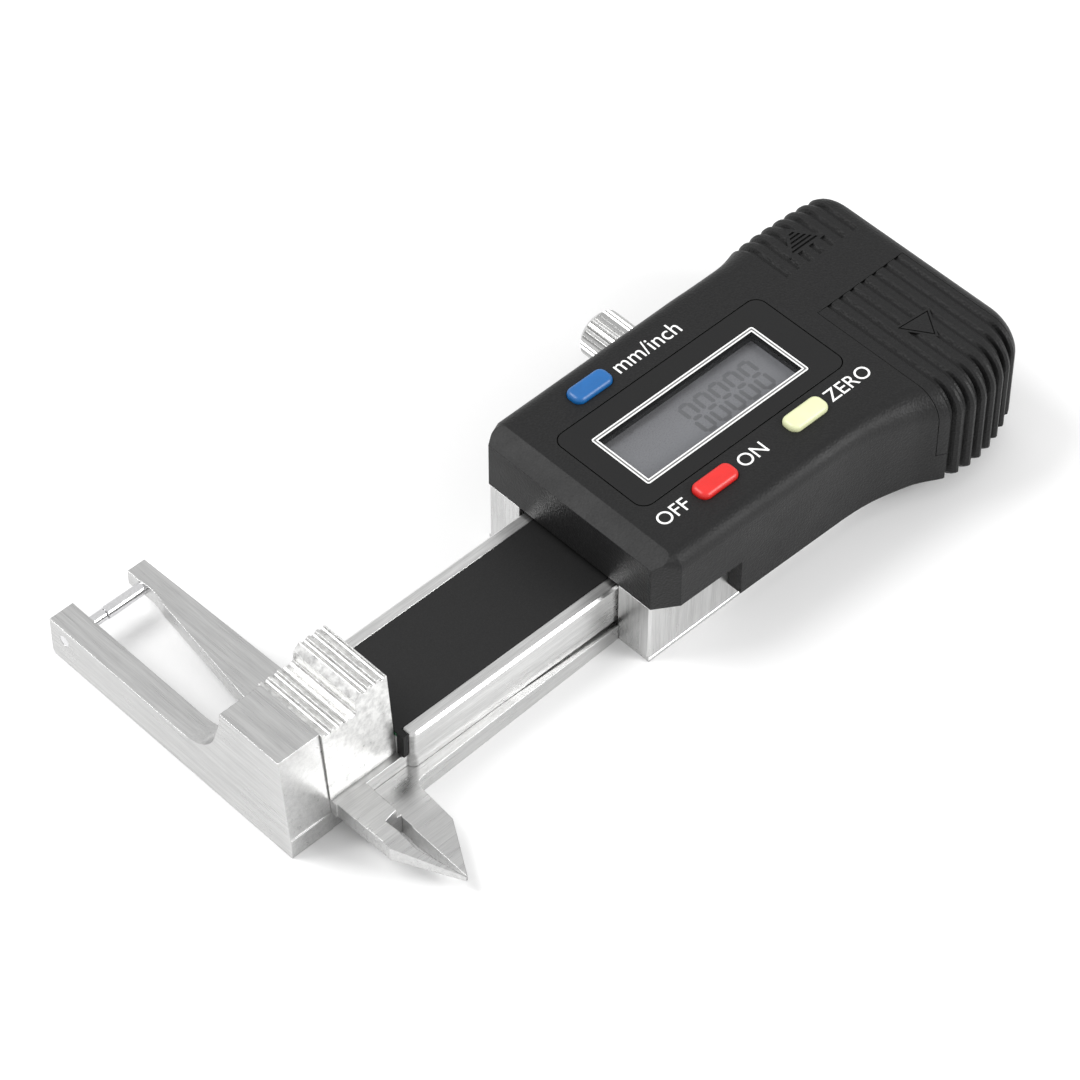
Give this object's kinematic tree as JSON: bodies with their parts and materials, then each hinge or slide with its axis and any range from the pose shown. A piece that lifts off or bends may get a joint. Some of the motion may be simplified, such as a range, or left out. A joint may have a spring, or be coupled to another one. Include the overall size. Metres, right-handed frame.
{
  "type": "tire tread gauge",
  "caption": "Digital slide gauge with pointed blades and pin arms, a knurled lock knob, coloured keys and a ribbed sliding battery cover.",
  "frame": {"origin": "middle of the footprint of the closed gauge, on the surface its back rests on", "axes": "+X along the slide from the jaws to the battery end, +Y towards the pin arms, +Z out of the display"},
  "size_m": [0.115, 0.0628, 0.0194],
  "materials": {
    "steel": "fine ground and brushed stainless steel",
    "cast_steel": "bright milled steel with slight pitting",
    "pin_chrome": "hardened and polished",
    "screw_steel": "turned steel",
    "brass": "plain rolled brass",
    "black_plastic": "black ABS with a fine spark texture",
    "panel_plastic": "smooth black front sheet",
    "tray_plastic": "white plastic",
    "clear_window": "clear acrylic",
    "lcd_glass": "grey reflective liquid crystal glass",
    "strip_rubber": "soft silicone",
    "board_green": "green solder mask",
    "chip_black": "moulded epoxy",
    "cell_steel": "nickel plated cell can",
    "contact_metal": "plated spring strip",
    "scale_black": "matt black scale cover",
    "knob_chrome": "straight knurled, plated",
    "button_blue": "satin moulded key",
    "button_red": "satin moulded key",
    "button_cream": "satin moulded key"
  },
  "bodies": {
    "gauge_body": {"base_bar": "steel", "rear_arm": "steel", "body_block": "steel", "back_plate": "steel", "rear_pin": "pin_chrome", "rear_arm_screws": "screw_steel", "housing_screws": "screw_steel", "base_screws": "screw_steel", "gib_screws": "screw_steel", "pan_screws": "screw_steel", "gib_strip": "brass", "housing_shell": "black_plastic", "rear_pan": "black_plastic", "display_panel": "panel_plastic", "lcd_holder": "tray_plastic", "lcd_window": "clear_window", "lcd_module": "lcd_glass", "zebra_strips": "strip_rubber", "key_domes": "strip_rubber", "circuit_board": "board_green", "measuring_chip": "chip_black", "battery_cell": "cell_steel", "lower_contact": "contact_metal", "upper_contact": "contact_metal"},
    "slide": {"slide_beam": "steel", "scale_board": "board_green", "scale_strip": "scale_black", "stop_screw": "screw_steel", "thumb_block": "cast_steel", "thumb_screws": "screw_steel", "front_jaw": "steel", "jaw_screws": "screw_steel", "front_pin": "pin_chrome"},
    "unit_key": {"unit_button": "button_blue"},
    "power_key": {"power_button": "button_red"},
    "zero_key": {"zero_button": "button_cream"},
    "battery_cover": {"battery_door": "black_plastic"},
    "lock_screw": {"lock_stem": "screw_steel"},
    "lock_thumb": {"lock_knob": "knob_chrome"}
  },
  "joints": [
    {"name": "jaw_slide", "type": "slide", "parent": "gauge_body", "child": "slide", "axis": [-1, 0, 0], "range_m": [0, 0.025]},
    {"name": "unit_press", "type": "slide", "parent": "gauge_body", "child": "unit_key", "axis": [0, 0, -1], "range_m": [0, 0.0006], "stiffness_N_per_m": 1500, "springref_m": -0.0003},
    {"name": "power_press", "type": "slide", "parent": "gauge_body", "child": "power_key", "axis": [0, 0, -1], "range_m": [0, 0.0006], "stiffness_N_per_m": 1500, "springref_m": -0.0003},
    {"name": "zero_press", "type": "slide", "parent": "gauge_body", "child": "zero_key", "axis": [0, 0, -1], "range_m": [0, 0.0006], "stiffness_N_per_m": 1500, "springref_m": -0.0003},
    {"name": "battery_door_slide", "type": "slide", "parent": "gauge_body", "child": "battery_cover", "axis": [0, -1, 0], "range_m": [0, 0.022]},
    {"name": "lock_screw_travel", "type": "slide", "parent": "gauge_body", "child": "lock_screw", "axis": [0, 1, 0], "range_m": [0, 0.0005]},
    {"name": "lock_knob_turn", "type": "hinge", "parent": "lock_screw", "child": "lock_thumb", "pos_m": [0.0257, 0.0155, 0.00615], "axis": [0, 1, 0], "range_deg": [0, 360]}
  ],
  "couplings": [
    {"joint": "lock_knob_turn", "follows": "lock_screw_travel", "rad_per_m": 12566}
  ]
}
